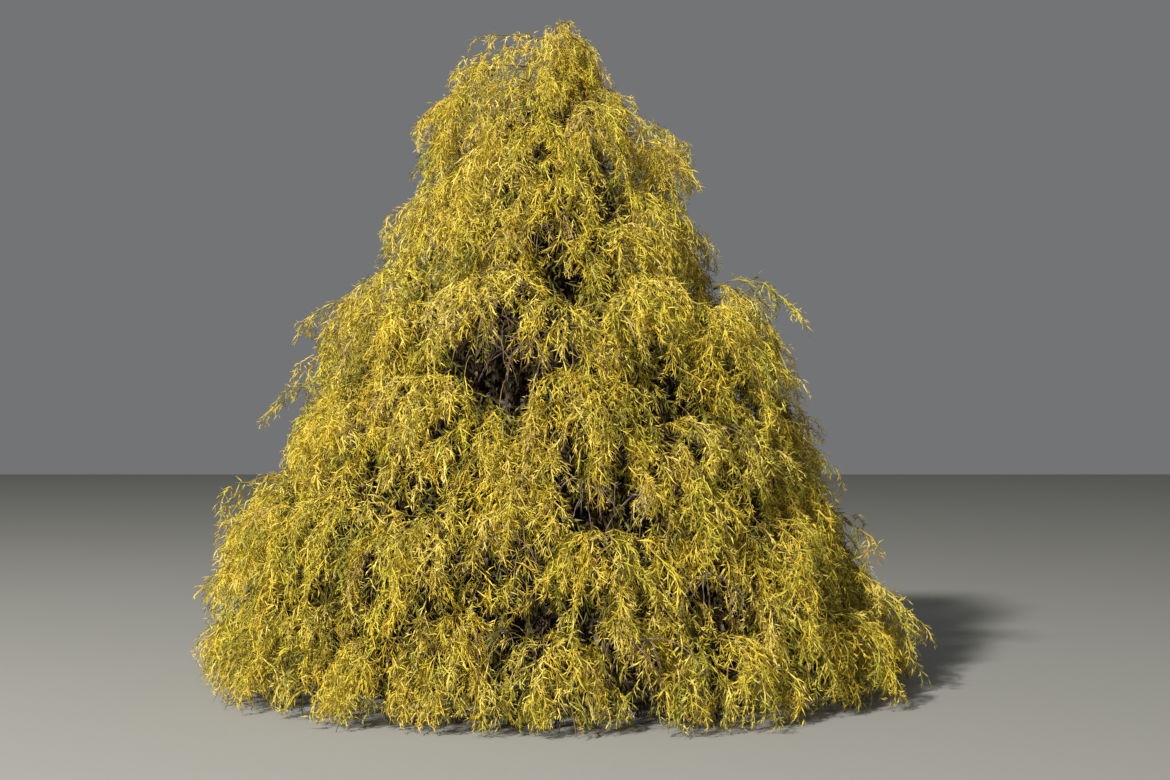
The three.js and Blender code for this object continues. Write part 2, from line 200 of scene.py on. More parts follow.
# The crown's plan: eight storeys of weeping branches, each a ring of tufts, and each tuft an arch that
# climbs from its foot over its crest and hangs. Neighbouring tufts on one stem are a mass of foliage.
# They grow by the solids' own rule and sizes, and only the rounded shoulders are added to it here.
STOREYS = (
    # crest, how much higher at the left, reach to the left and to the right, masses, tufts in each
    (0.58, -0.05, 2.11, 2.20, 8, 3),
    (1.17, 0.02, 2.01, 1.99, 7, 3),
    (1.70, 0.05, 1.60, 1.74, 6, 3),
    (2.29, 0.03, 1.37, 1.56, 5, 3),
    (2.79, 0.06, 0.96, 0.96, 4, 3),
    (3.22, -0.02, 0.74, 0.83, 3, 3),
    (3.47, 0.00, 0.78, 0.48, 2, 3),
    (3.74, -0.06, 0.60, 0.26, 1, 3),
)
BOUGH_STOREYS = 3
TUFT_SEED = 1000
TURN_JITTER = 0.12  # of the step from tuft to tuft
REACH_JITTER = 0.04  # of the reach, as for its zigzag
REACH_ZIGZAG = 0.025
CREST_JITTER = 0.04
CREST_ZIGZAG = 0.08
ZIGZAG_TUFTS = 11
PAD = 0.33
PAD_SHARES = (0.35, 0.65)
PAD_REACH = 1.3
SCALE_SHARES = (0.5, 0.5)
ARCH_FOOT = 0.75
ARCH_NEAREST = 0.3
ARCH_BELOW_CREST = 0.11
ARCH_DROP = 0.43
DROP_LEAVES = 0.26
ARCH_ANGLES = (35, 55, 73, 90)
CORE_ANGLE = 56
SHOULDER_SHARE = 0.15
SHOULDER_MOST = 0.25
FAR_OFF = 9.0
MASK = 0xFFFFFFFF


def stream(seed):
    """Repeatable numbers from 0 to 1, drawn as the solids' own rule draws them."""
    state = seed & MASK
    while True:
        state = (state + 0x6D2B79F5) & MASK
        t = ((state ^ (state >> 15)) * (1 | state)) & MASK
        t = ((t + (((t ^ (t >> 7)) * (61 | t)) & MASK)) & MASK) ^ t
        yield ((t ^ (t >> 14)) & MASK) / (MASK + 1)


def jitter(draw, size):
    """A number from -size to size, drawn from a stream."""
    return (2 * next(draw) - 1) * size


def heading(turn):
    """The level direction that a turn round the trunk, or each of several, faces."""
    turn = np.asarray(turn, float)
    return np.stack([np.cos(turn), np.sin(turn), 0 * turn], axis=-1)


def arch_point(tuft, angle):
    """A point on a tuft's arch, from its crest at 0 degrees to its hanging end at 90."""
    outer = max(tuft["reach"] - tuft["pad"], tuft["reach"] * ARCH_NEAREST)
    inner = outer * ARCH_FOOT
    r = inner + (outer - inner) * math.sin(math.radians(angle))
    z = tuft["crest"] - ARCH_BELOW_CREST - tuft["drop"] * (1 - math.cos(math.radians(angle)))
    return trunk_at(z) + heading(tuft["turn"]) * r


def tufts_of(level):
    """The tufts of one storey, with their headings, reaches and the spots along their arches."""
    storey_crest, tilt, left, right, masses, group = STOREYS[level]
    count = masses * group
    made = []
    for i in range(count):
        draw = stream(TUFT_SEED * (level + 1) + i)
        turn = math.pi + 2 * math.pi / count * (i + jitter(draw, TURN_JITTER))
        side = math.cos(turn)
        zigzag = ((i % 2) * 2 - 1) * min(1, (count - 1) / ZIGZAG_TUFTS)
        uneven = 1 + jitter(draw, REACH_JITTER) - REACH_ZIGZAG * zigzag
        reach = ((left + right) / 2 + (right - left) / 2 * side) * uneven
        crest = storey_crest - tilt * side + CREST_ZIGZAG * zigzag + jitter(draw, CREST_JITTER)
        pad = PAD * min(1, PAD_SHARES[0] + PAD_SHARES[1] * reach / PAD_REACH)
        drop = min(ARCH_DROP * pad / PAD, crest - DROP_LEAVES)
        tuft = {"turn": turn, "reach": reach, "crest": crest, "pad": pad, "drop": drop}
        tuft["spots"] = [arch_point(tuft, angle) for angle in ARCH_ANGLES]
        tuft["centre"] = arch_point(tuft, CORE_ANGLE)
        tuft["scale"] = min(1, SCALE_SHARES[0] + SCALE_SHARES[1] * reach)
        made.append(tuft)
    return made


storeys = [tufts_of(level) for level in range(len(STOREYS))]
tufts = [tuft for storey in storeys for tuft in storey]
spots = np.array([tuft["spots"] for tuft in tufts])
reaches = np.array([tuft["reach"] for tuft in tufts])
crests = np.array([tuft["crest"] for tuft in tufts])


def room_at(points, owners):
    """How far points lie from the next tuft, inside their own one's reach, below its crest, inside its
    rounded shoulder, and above the ground."""
    gaps = np.full((len(points), len(tufts)), FAR_OFF)
    for i in range(len(tufts)):
        apart = np.linalg.norm(points[:, None, :] - spots[i][None, :, :], axis=2)
        gaps[:, i] = apart.min(axis=1)
    each = np.arange(len(points))
    own = gaps[each, owners].copy()
    gaps[each, owners] = FAR_OFF
    beside = (gaps.min(axis=1) - own) / 2
    spread = np.linalg.norm(points - trunk_at(points[:, 2]), axis=1)
    inside, under = reaches[owners] - spread, crests[owners] - points[:, 2]
    shoulder = inside + under - np.minimum(SHOULDER_SHARE * reaches[owners], SHOULDER_MOST)
    return beside, inside, under, shoulder, points[:, 2]


# The crown's slope: the cone that the hanging ends of all the branches make together. Dark hollows break
# it, where branches have died back and the shaded inside shows behind a few bare twigs.
SLOPE_FOOT = 0.06
SLOPE_TOP = 3.72
SLOPE_TIP = SLOPE_TOP + 0.1
SLOPE_TIP_RADIUS = 0.05
SLOPE_BELOW_CREST = 0.34
SLOPE_INSIDE_REACH = 0.10
FOOT_INSIDE_REACH = 0.14
SLOPE_STEPS = 400
SPOT_HEIGHT_JITTER = 0.03
SPOT_TURN_JITTER = 0.04  # radians
TRUNK_SPREAD = 0.04
HOLLOWS = (
    # turn round the trunk in degrees, height, half its width, half its height
    (-100, 2.05, 0.09, 0.20),
    (-106, 1.88, 0.16, 0.15),
    (-98, 1.77, 0.16, 0.18),
    (-87, 1.84, 0.12, 0.12),
    (-92, 2.50, 0.07, 0.07),
    (-80, 1.12, 0.12, 0.09),
    (-69, 1.06, 0.07, 0.08),
    (-51, 1.38, 0.11, 0.10),
    (-95, 0.90, 0.12, 0.08),
    (-61, 0.68, 0.14, 0.07),
    (-77, 0.38, 0.10, 0.13),
    (-98, 0.45, 0.12, 0.08),
    (20, 1.25, 0.15, 0.13),
    (75, 1.95, 0.14, 0.15),
    (128, 0.80, 0.15, 0.13),
    (175, 1.55, 0.12, 0.12),
)
HOLLOW_DEPTH = 0.6
CLUMP_SCALE = 2.6
GOLDEN_TURN = math.pi * (3 - math.sqrt(5))


def rims(storey_reaches):
    """How far the slope stands from the trunk on one side: at its foot, each storey and its tip."""
    foot = storey_reaches[0] - FOOT_INSIDE_REACH
    return [foot] + [reach - SLOPE_INSIDE_REACH for reach in storey_reaches] + [SLOPE_TIP_RADIUS]


rim_heights = [SLOPE_FOOT] + [row[0] - SLOPE_BELOW_CREST for row in STOREYS] + [SLOPE_TIP]
left_rims = rims([row[2] for row in STOREYS])
right_rims = rims([row[3] for row in STOREYS])


def slope_radius(heights, turns):
    """How far the crown's slope stands from the trunk at a height, on the side that a turn faces."""
    left = np.interp(heights, rim_heights, left_rims)
    right = np.interp(heights, rim_heights, right_rims)
    return (left + right) / 2 + (right - left) / 2 * np.cos(turns)


def in_hollow(points, share=1.0):
    """Whether each point lies in a hollow of the slope, or in the given share of its size."""
    inside = np.zeros(len(points), bool)
    away = points - trunk_at(points[:, 2])
    for turn, height, half_width, half_height in HOLLOWS:
        out = away @ heading(math.radians(turn))
        sideways = away @ heading(math.radians(turn + 90))
        oval = (sideways / half_width) ** 2 + ((points[:, 2] - height) / half_height) ** 2
        floor = slope_radius(height, math.radians(turn)) - HOLLOW_DEPTH
        inside |= (oval < share**2) & (out > floor)
    return inside


def clumps(points, scale):
    """A smooth random number at each point, about -0.7 to 0.7, that changes over 1 / scale metres."""
    return np.array([noise.noise(Vector(p * scale)) for p in points])


def slope_spots(count, depths, clump_depth, top, random):
    """Points behind the crown's slope in golden-angle steps up the cone: their places and headings."""
    heights = np.linspace(SLOPE_FOOT, top, SLOPE_STEPS)
    right, left = np.zeros(SLOPE_STEPS), np.full(SLOPE_STEPS, math.pi)
    area = np.cumsum(slope_radius(heights, right) + slope_radius(heights, left))
    wanted = (np.arange(count) + 0.5) / count * area[-1]
    z = np.interp(wanted, area, heights)
    z += random.uniform(-SPOT_HEIGHT_JITTER, SPOT_HEIGHT_JITTER, count)
    turns = np.arange(count) * GOLDEN_TURN
    turns += random.uniform(-SPOT_TURN_JITTER, SPOT_TURN_JITTER, count)
    spread = slope_radius(z, turns) - random.uniform(*depths, count)
    surface = trunk_at(z) + heading(turns) * spread[:, None]
    deeper = np.clip(clumps(surface, CLUMP_SCALE), 0, 1) * clump_depth * np.clip(spread, 0, 1)
    spread = np.maximum(spread - deeper, TRUNK_SPREAD)
    return trunk_at(z) + heading(turns) * spread[:, None], turns


# The stems and twigs: thin brown wood. A stem goes on from the tip of each bough, or from the trunk
# higher up, into the middle tuft of its mass, and twigs fork off it to the other tufts. One more stem
# goes on from the trunk's tip inside the leader.
BOUGH_SHARE = 0.56
BOUGH_PADS_BELOW_CREST = 1.1
BOUGH_BEND = 0.16  # radians
BOUGH_ARCH = 0.035
BOUGH_TIP_RADIUS = 0.013
STEM_OVERLAP = 0.03
STEM_RADIUS = 0.015
STEM_DROP = 0.184
STEM_BELOW_TOP = 0.06
STEM_SLOPE = 0.5
STEM_LEAD = 0.35
STEM_POINTS = 13
STEM_SIDES = 7
LEADER_OVERLAP = 0.05
LEADER_HEIGHTS = (3.25, 3.67)
HUB_ANGLE = 22
FORK = 0.3  # of the stem, as for its jitter
FORK_JITTER = 0.08
FORK_LIFT = 0.04
TWIG_RADIUS = 0.009
TWIG_TIP_RADIUS = 0.005
TWIG_POINTS = 9
TWIG_SIDES = 5
MASS_SEED = 7000
STOREY_SEED = 100
UP = np.array([0.0, 0.0, 1.0])


def bezier(start, bend, end, count):
    """Points along a curve that leaves its start towards the bend and comes to its end from there."""
    t = np.linspace(0, 1, count)[:, None]
    return (1 - t) ** 2 * start + 2 * t * (1 - t) * bend + t**2 * end


def stem_root(mass, level):
    """A stem's start, first direction and radius: at its bough's tip, or on the trunk higher up."""
    if level < BOUGH_STOREYS:
        reach = mass["reach"] * BOUGH_SHARE
        tip_height = mass["crest"] - BOUGH_PADS_BELOW_CREST * mass["pad"]
        end = trunk_at(tip_height) + heading(mass["turn"]) * reach
        sideways = heading(mass["turn"] + jitter(mass["draw"], BOUGH_BEND))
        bend = trunk_at(tip_height + BOUGH_ARCH) + sideways * reach * 0.5
        direction = (end - bend) / np.linalg.norm(end - bend)
        return end - direction * STEM_OVERLAP, direction, BOUGH_TIP_RADIUS
    if level == len(STOREYS) - 1:
        return trunk_at(TRUNK_TOP - LEADER_OVERLAP), UP, STEM_RADIUS
    height = min(mass["crest"] - mass["pad"] - STEM_DROP, TRUNK_TOP - STEM_BELOW_TOP)
    direction = heading(mass["turn"]) + STEM_SLOPE * UP
    return trunk_at(height), direction / np.linalg.norm(direction), STEM_RADIUS


stem_lines, twig_lines = [], []
for level, storey in enumerate(storeys):
    masses, group = STOREYS[level][4:]
    for m in range(masses):
        members = storey[m * group : (m + 1) * group]
        mass = {key: sum(t[key] for t in members) / group for key in ("turn", "reach", "crest", "pad")}
        mass["draw"] = stream(MASS_SEED + STOREY_SEED * level + m)
        root, direction, radius = stem_root(mass, level)
        hubs = [arch_point(tuft, HUB_ANGLE) for tuft in members]
        middle = hubs[group // 2]
        bend = root + direction * STEM_LEAD * np.linalg.norm(middle - root)
        stem = bezier(root, bend, middle, STEM_POINTS)
        stem_lines.append((stem, radius))
        for tuft, hub in zip(members, hubs):
            tuft["hub"] = hub
            if hub is middle:
                continue
            fork = stem[round((STEM_POINTS - 1) * (FORK + jitter(mass["draw"], FORK_JITTER)))]
            lift = (fork + hub) / 2 + FORK_LIFT * UP
            twig_lines.append((bezier(fork, lift, hub, TWIG_POINTS), TWIG_RADIUS))
leader_stem = trunk_at(np.linspace(TRUNK_TOP - LEADER_OVERLAP, LEADER_HEIGHTS[1], STEM_POINTS))
stem_lines.append((leader_stem, STEM_RADIUS))

# The branchlets, which carry the sprays: shoots of two and three years that arch over and hang, still
# clad in their scale leaves, which have turned from gold to a yellowish brown. They fan out from the hub
# of each tuft, fill the slope between the tufts, and stand all round the leader.
BRANCHLET_RADIUS = 0.0042
BRANCHLET_TIP_RADIUS = 0.0018
BRANCHLET_POINTS = 6
BRANCHLET_TIERS = (
    # branchlets, spread to each side, first slope, last slope, length, how far out its root lies
    (3, 66, 36, -48, 0.46, 0.00),
    (3, 72, 14, -66, 0.50, 0.25),
    (3, 68, -14, -80, 0.56, 0.55),
)
BRANCHLET_SIZES = (0.68, 1.2)
BRANCHLET_JITTER = 0.3
BRANCHLET_RISE_JITTER = (-12, 12)
BRANCHLET_FALL_JITTER = (-6, 4)
SIDEWAYS_SHORTER = 0.15
BEND_PACE = 1.25
OVER_CREST = 0.02
OVER_SHOULDER = 0.06
SLOPE_BRANCHLETS = 380
SLOPE_DEPTHS = (0.32, 0.5)
SLOPE_CLUMP_DEPTH = 0.25
SLOPE_LENGTH = 0.34
SLOPE_SIZES = (0.85, 1.15)
SLOPE_TURNS = (-30, 30)
SLOPE_RISES = (0, 40)
SLOPE_FALLS = (-78, -45)
LEADER_BRANCHLETS = 76
LEADER_LENGTH = 0.32
LEADER_SIZES = (0.8, 1.2)
LEADER_TOP_SHORTER = 0.4
LEADER_RISES = (20, 65)
LEADER_FALLS = (-75, -40)
LEFT_RISES_LESS = 15
LEFT_FALLS_LESS = 40
LEADER_ROOTS_OUT = 0.03
LEADER_TUFTS_OUT = 0.2
GROUND_CLEAR = 0.004
BRANCHLET_COLOUR = "927d42"
TONE_PATCH = 0.08
TONES = (0.68, 1.24)


def drooping_lines(roots, turns, rises, falls, lengths, count):
    """Centre lines that leave their roots at one slope and bend over to another, which they reach four
    fifths of the way along."""
    share = (np.arange(count - 1) + 0.5) / (count - 1)
    slope = rises[:, None] + (falls - rises)[:, None] * np.minimum(1, BEND_PACE * share)[None, :]
    slope = np.radians(slope)
    step = (lengths / (count - 1))[:, None]
    out = np.cos(slope) * step
    x, y = out * np.cos(turns)[:, None], out * np.sin(turns)[:, None]
    moves = np.stack([x, y, np.sin(slope) * step], axis=2)
    ends = roots[:, None, :] + np.cumsum(moves, axis=1)
    return np.concatenate([roots[:, None, :], ends], axis=1)


def tubes(lines, radii, across, sides=3):
    """Closed tubes round centre lines, each ending in a point: their points and their faces."""
    many, count = lines.shape[:2]
    tangent = np.gradient(lines, axis=1)
    tangent /= np.linalg.norm(tangent, axis=2, keepdims=True)
    beside = np.broadcast_to(across[:, None, :], tangent.shape)
    over = np.cross(tangent, beside)
    turn = 2 * math.pi * np.arange(sides) / sides
    ring = beside[:, :, None, :] * np.cos(turn)[:, None] + over[:, :, None, :] * np.sin(turn)[:, None]
    rings = lines[:, :-1, None, :] + ring[:, :-1] * radii[:, : count - 1, None, None]
    points = np.concatenate([rings.reshape(many, -1, 3), lines[:, -1:, :]], axis=1)
    faces = [(0, sides - 1 - k, sides - 2 - k) for k in range(sides - 2)]
    for k in range(count - 2):
        for s in range(sides):
            a, b = k * sides + s, k * sides + (s + 1) % sides
            faces += [(a, b, b + sides), (a, b + sides, a + sides)]
    last, tip = (count - 2) * sides, (count - 1) * sides
    faces += [(last + s, last + (s + 1) % sides, tip) for s in range(sides)]
    return points, np.array(faces)


def repeated(points, faces):
    """The points and faces of many copies as one mesh's."""
    many, count = points.shape[:2]
    shifts = np.arange(many)[:, None, None] * count
    return points.reshape(-1, 3), (faces[None, :, :] + shifts).reshape(-1, 3)


def mesh_piece(name, points, faces, material):
    """One smooth-shaded piece from its points and triangles. What would go into the ground lies on it."""
    points[:, 2] = np.maximum(points[:, 2], GROUND_CLEAR)
    mesh = bpy.data.meshes.new(name)
    mesh.vertices.add(len(points))
    mesh.vertices.foreach_set("co", points.astype(np.float32).ravel())
    mesh.loops.add(faces.size)
    mesh.loops.foreach_set("vertex_index", faces.astype(np.int32).ravel())
    mesh.polygons.add(len(faces))
    mesh.polygons.foreach_set("loop_start", np.arange(0, faces.size, 3, dtype=np.int32))
    mesh.update(calc_edges=True)
    mesh.shade_smooth()
    mesh.materials.append(material)
    piece = bpy.data.objects.new(name, mesh)
    bpy.context.collection.objects.link(piece)
    return piece


def thread_material(name, colour):
    """Scale-leaved threads: a matt, slightly waxy skin whose tone shifts from patch to patch."""
    material, shader = new_material("scale_leaf_thread_" + name)
    place = add_node(material, "ShaderNodeTexCoord").outputs["Object"]
    patches = {"Scale": 1 / TONE_PATCH, "Detail": 2.0}
    tone = add_node(material, "ShaderNodeTexNoise", patches, Vector=place)
    tones = {"From Min": 0.3, "From Max": 0.7, "To Min": TONES[0], "To Max": TONES[1]}
    shift = add_node(material, "ShaderNodeMapRange", tones, Value=tone.outputs["Fac"])
    tint = add_node(
        material, "ShaderNodeHueSaturation", {"Color": linear(colour)}, Value=shift.outputs["Result"]
    )
    material.node_tree.links.new(tint.outputs["Color"], shader.inputs["Base Color"])
    shader.inputs["Roughness"].default_value = 0.55
    shader.inputs["Specular IOR Level"].default_value = 0.35
    return material


def branchlets_of(tuft, number, random):
    """The roots, headings, slopes and lengths of the branchlets that fan out from a tuft's hub."""
    made = []
    for count, spread, rise, fall, length, out in BRANCHLET_TIERS:
        for k in range(count):
            place = k + 0.5 + random.uniform(-BRANCHLET_JITTER, BRANCHLET_JITTER)
            side = place / count * 2 - 1
            turn = tuft["turn"] + math.radians(side * spread)
            root = tuft["hub"] + (tuft["centre"] - tuft["hub"]) * out
            size = tuft["scale"] * length * random.uniform(*BRANCHLET_SIZES)
            size *= 1 - SIDEWAYS_SHORTER * abs(side)
            first_slope = rise + random.uniform(*BRANCHLET_RISE_JITTER)
            last_slope = fall + random.uniform(*BRANCHLET_FALL_JITTER)
            made.append((number, *root, turn, first_slope, last_slope, size))
    return made


def nearest_tufts(points, first=0):
    """Which tuft's arch each point is nearest to, of the tufts from the first one asked for."""
    apart = [np.linalg.norm(spots[first:] - point, axis=2).min(axis=1) for point in points]
    return first + np.argmin(apart, axis=1)


def slope_branchlets(random):
    """Branchlets behind the crown's slope, between the tufts, each counted as part of the nearest."""
    roots, turns = slope_spots(SLOPE_BRANCHLETS, SLOPE_DEPTHS, SLOPE_CLUMP_DEPTH, SLOPE_TOP, random)
    count = len(roots)
    turns = turns + np.radians(random.uniform(*SLOPE_TURNS, count))
    rises, falls = random.uniform(*SLOPE_RISES, count), random.uniform(*SLOPE_FALLS, count)
    lengths = SLOPE_LENGTH * random.uniform(*SLOPE_SIZES, count)
    return np.column_stack([nearest_tufts(roots), roots, turns, rises, falls, lengths])


def leader_branchlets(random):
    """Branchlets all round the leader that fill its head: shorter towards its top, and longer, flatter
    and less drooping to the left."""
    count = LEADER_BRANCHLETS
    turns = np.arange(count) * GOLDEN_TURN
    roots = trunk_at(np.linspace(*LEADER_HEIGHTS, count)) + heading(turns) * LEADER_ROOTS_OUT
    first = len(tufts) - STOREYS[-1][4] * STOREYS[-1][5]
    own = nearest_tufts(roots + heading(turns) * LEADER_TUFTS_OUT, first)
    leftness = np.clip(-np.cos(turns), 0, 1)
    rises = random.uniform(*LEADER_RISES, count) - LEFT_RISES_LESS * leftness
    falls = random.uniform(*LEADER_FALLS, count) + LEFT_FALLS_LESS * leftness
    size = 1 - LEADER_TOP_SHORTER * np.linspace(0, 1, count) * (1 - leftness) + leftness
    lengths = LEADER_LENGTH * size * random.uniform(*LEADER_SIZES, count)
    return np.column_stack([own, roots, turns, rises, falls, lengths])


random = np.random.default_rng(41)
tuft_rows = [row for number, tuft in enumerate(tufts) for row in branchlets_of(tuft, number, random)]
rows = np.concatenate([np.array(tuft_rows), slope_branchlets(random), leader_branchlets(random)])
branch_lines = drooping_lines(rows[:, 1:4], rows[:, 4], *rows[:, 5:8].T, BRANCHLET_POINTS)
inside = np.ones(len(rows), bool)
for k in range(2, BRANCHLET_POINTS):
    _, spread, under, shoulder, _ = room_at(branch_lines[:, k], rows[:, 0].astype(int))
    inside &= (spread > 0) & (under > -OVER_CREST) & (shoulder > -OVER_SHOULDER)
branch_lines = branch_lines[inside]
branch_tuft = rows[inside, 0].astype(int)
branch_turns, branch_rises = rows[inside, 4], rows[inside, 5]
many = len(branch_lines)
share = np.linspace(0, 1, BRANCHLET_POINTS)[None, :]
branch_radii = (BRANCHLET_RADIUS * (1 - share) + BRANCHLET_TIP_RADIUS * share) * np.ones((many, 1))
branch_tubes = tubes(branch_lines, branch_radii, heading(branch_turns + math.pi / 2))
browned = thread_material("browned", BRANCHLET_COLOUR)
branchlets = mesh_piece("branchlets", *repeated(*branch_tubes), browned)
foliage_nodes = sorted(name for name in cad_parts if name.startswith("foliage"))
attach(branchlets, "root")
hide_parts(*foliage_nodes)

# The twigs' piece: the stems and twigs above, and the bare twigs in the hollows, which are dead thin
# brown wood that has lost its threads. Those hang from the upper edge of each hollow, where they grow on
# from the living branches, and are crooked from step to step.
BARE_TWIGS = 12
BARE_POINTS = 7
BARE_HEIGHTS = (0.5, 1.2)  # of the hollow's half height
BARE_DEPTHS = (0.1, 0.45)
BARE_TURN = 1.6  # radians
BARE_RISES = (-40, 10)
BARE_FALLS = (-88, -60)
BARE_LENGTHS = (0.16, 0.4)
BARE_CROOK = 0.006
BARE_RADII = (0.0036, 0.0016)
TWIG_COLOURS = ("4b392d", "7a6253", "a08a7c")
TWIG_TONE_PLACES = (0.35, 0.5, 0.68)
TWIG_PATCH = 0.055
ASKEW = np.array([0.13, 0.07, 1.0])


def wood_tubes(lines, end_radius, sides):
    """Tapering round twigs along lines with equal counts of points, none of which runs along ASKEW."""
    points = np.array([line for line, _ in lines])
    start = np.array([radius for _, radius in lines])
    share = np.linspace(0, 1, points.shape[1])[None, :]
    radii = start[:, None] * (1 - share) + end_radius * share
    way = points[:, -1] - points[:, 0]
    across = np.cross(way, ASKEW)
    across /= np.linalg.norm(across, axis=1, keepdims=True)
    return repeated(*tubes(points, radii, across, sides))


def joined(parts):
    """Several meshes' points and faces as one mesh's."""
    points, faces, start = [], [], 0
    for more_points, more_faces in parts:
        points.append(more_points)
        faces.append(more_faces + start)
        start += len(more_points)
    return np.concatenate(points), np.concatenate(faces)


def bare_twigs(random):
    """The bare twigs of all the hollows: their points and faces."""
    count = len(HOLLOWS) * BARE_TWIGS
    turn, height, half_width, half_height = np.repeat(np.array(HOLLOWS), BARE_TWIGS, axis=0).T
    turn = np.radians(turn)
    heights = height + half_height * random.uniform(*BARE_HEIGHTS, count)
    out = slope_radius(height, turn) - random.uniform(*BARE_DEPTHS, count)
    side = half_width * random.uniform(-1, 1, count)
    roots = trunk_at(heights) + heading(turn) * out[:, None]
    roots += heading(turn + math.pi / 2) * side[:, None]
    turns = turn + random.uniform(-BARE_TURN, BARE_TURN, count)
    rises, falls = random.uniform(*BARE_RISES, count), random.uniform(*BARE_FALLS, count)
    lines = drooping_lines(roots, turns, rises, falls, random.uniform(*BARE_LENGTHS, count), BARE_POINTS)
    crooks = random.normal(0, BARE_CROOK, (count, BARE_POINTS - 1, 2))
    lines[:, 1:, :2] += np.cumsum(crooks, axis=1)
    radii = np.linspace(*BARE_RADII, BARE_POINTS)[None, :] * np.ones((count, 1))
    return repeated(*tubes(lines, radii, heading(turns + math.pi / 2)))


def twig_material():
    """Young cypress twigs: dull pinkish brown skin, paler and greyer in patches where it weathers."""
    material, shader = new_material("pinkish_brown_twig_skin")
    place = add_node(material, "ShaderNodeTexCoord").outputs["Object"]
    patches = {"Scale": 1 / TWIG_PATCH, "Detail": 3.0}
    weathering = add_node(material, "ShaderNodeTexNoise", patches, Vector=place)
    ramp = add_node(material, "ShaderNodeValToRGB", Fac=weathering.outputs["Fac"])
    dark, pale = ramp.color_ramp.elements
    dark.position, dark.color = TWIG_TONE_PLACES[0], linear(TWIG_COLOURS[0])
    pale.position, pale.color = TWIG_TONE_PLACES[2], linear(TWIG_COLOURS[2])
    ramp.color_ramp.elements.new(TWIG_TONE_PLACES[1]).color = linear(TWIG_COLOURS[1])
    material.node_tree.links.new(ramp.outputs["Color"], shader.inputs["Base Color"])
    shader.inputs["Roughness"].default_value = 0.8
    return material


stems = wood_tubes(stem_lines, TWIG_TIP_RADIUS, STEM_SIDES)
forked = wood_tubes(twig_lines, TWIG_TIP_RADIUS, TWIG_SIDES)
twigs = mesh_piece("twigs", *joined([stems, forked, bare_twigs(random)]), twig_material())
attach(twigs, "root")
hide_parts(*foliage_nodes)

# The sprays: hanging threads of tiny scale leaves pressed flat to the shoot, golden where the sun reaches
# and olive inside. That colour is partly their own and partly painted light and shade. Each has one main
# thread, and short side threads that fork again and droop. Real threads are 1 to 2 mm wide, and these are
# 6 mm, so that some ten thousand sprays close the crown.
SPRAY_LENGTH = 0.22
SPRAY_POINTS = 4
SPRAY_SWAY = 0.02
SPRAY_RISES = (44, 14, -22, -58)
SPRAY_FALLS = (-70, -80, -86, -88)
SPRAY_VARIANTS = 4
MAIN_WIDTH = 0.006
SIDE_THREADS = 13
SIDE_FORKS = 2
SIDE_FIRST = 0.07
SIDE_SPAN = 0.9
SIDE_PLACES = (0.1, 0.9)
SIDE_ROLL = 80
SIDE_OPENINGS = (25, 75)
SIDE_LENGTHS = (0.028, 0.07)
SIDE_LONGEST = 1.15
SIDE_SHORTENING = 0.4
SIDE_WIDTH = 0.0057
SIDE_BEND = 0.3
SIDE_ARCH = 0.006
SIDE_DROOP = 0.4
FORK_PLACES = (0.25, 0.8)
FORK_SIZES = (0.5, 0.9)
FORK_AHEAD = 0.6
FORK_ASIDE = 0.8
FORK_DROOP = 0.6
ACROSS = np.array([0.0, 1.0, 0.0])


def unit(vectors):
    """Vectors brought to length 1."""
    return vectors / np.linalg.norm(vectors, axis=1, keepdims=True)


def points_along(lines, which, share):
    """Points at a share of the chosen lines' lengths, and the way that each line takes there."""
    where = share * (lines.shape[1] - 1)
    first = np.minimum(where.astype(int), lines.shape[1] - 2)
    way = lines[which, first + 1] - lines[which, first]
    return lines[which, first] + way * (where - first)[:, None], way


def slivers(roots, tips, beside, width, arch):
    """Side threads of two faces each, bent upwards in the middle: their points and faces."""
    way = tips - roots
    over = unit(np.cross(way, beside))
    over *= np.where(over[:, 2:] < 0, -1.0, 1.0)
    middle = roots + way * SIDE_BEND + over * arch
    points = np.stack([roots, middle + beside * width / 2, middle - beside * width / 2, tips], axis=1)
    return repeated(points, np.array([(0, 1, 2), (1, 3, 2)]))


def ribbon(line, width):
    """A narrow strip along a line, given a half turn on the way: its points and faces."""
    angle = np.linspace(0, math.pi, len(line))[:, None]
    over = unit(np.cross(np.gradient(line, axis=0), ACROSS))
    across = (ACROSS * np.cos(angle) + over * np.sin(angle)) * width / 2
    points = np.stack([line - across, line + across], axis=1).reshape(-1, 3)
    steps = 2 * np.arange(len(line) - 1)[:, None]
    return points, np.concatenate([steps + (0, 1, 3), steps + (0, 3, 2)])


def side_threads(line, threads, draw):
    """The side threads of a spray: their roots on its main thread, their ways and their lengths."""
    places = np.arange(threads) + draw.uniform(*SIDE_PLACES, threads)
    share = places / threads * SIDE_SPAN + SIDE_FIRST
    roots, along = points_along(line, 0, share)
    along = unit(along)
    side = np.where(np.arange(threads) % 2 == 0, 1.0, -1.0)[:, None] * ACROSS
    over = np.cross(along, ACROSS)
    roll = np.radians(draw.uniform(-SIDE_ROLL, SIDE_ROLL, threads))[:, None]
    opening = np.radians(draw.uniform(*SIDE_OPENINGS, threads))[:, None]
    way = along * np.cos(opening) + (side * np.cos(roll) + over * np.sin(roll)) * np.sin(opening)
    length = draw.uniform(*SIDE_LENGTHS, threads) * (SIDE_LONGEST - SIDE_SHORTENING * share)
    return roots, way, length[:, None]


